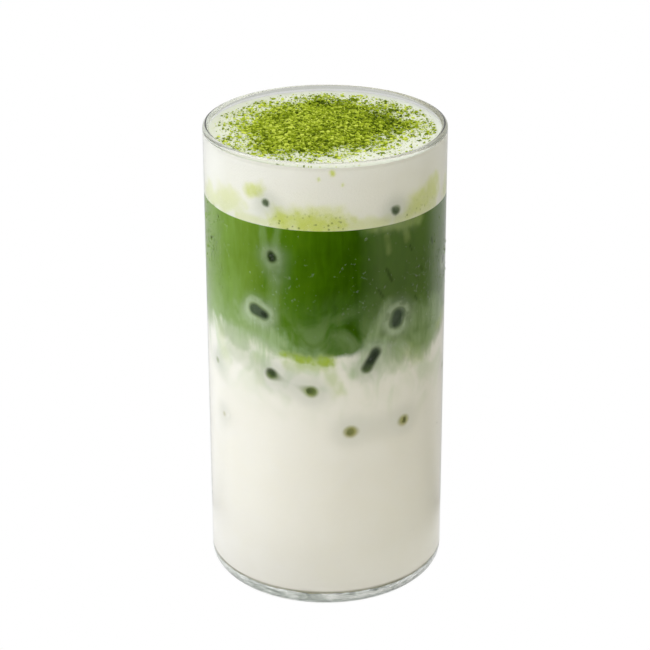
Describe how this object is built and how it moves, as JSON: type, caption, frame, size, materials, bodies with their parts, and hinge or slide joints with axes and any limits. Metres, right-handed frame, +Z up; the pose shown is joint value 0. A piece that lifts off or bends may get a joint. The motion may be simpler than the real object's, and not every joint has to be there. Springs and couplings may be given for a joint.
{
  "type": "iced matcha latte",
  "caption": "Straight clear tumbler filled to the rim with milk, whisked matcha and milk foam in level layers, with a low heap of sifted matcha powder on top.",
  "frame": {"origin": "middle of the tumbler's foot, on the surface that it stands on", "axes": "+Z up the glass to the rim, -Y the front, +X to the right seen from the front"},
  "size_m": [0.07, 0.07, 0.14],
  "materials": {
    "glass": "clear polished glass",
    "milk": "opaque cream-white liquid",
    "matcha": "cloudy deep green liquid",
    "foam": "soft fine-bubbled foam",
    "powder": "dry clumping powder",
    "ice": "clear wet ice"
  },
  "bodies": {
    "root": {"glass_tumbler": "glass", "milk_layer": "milk", "matcha_layer": "matcha", "foam_layer": "foam", "powder_heap": "powder"}
  },
  "joints": []
}
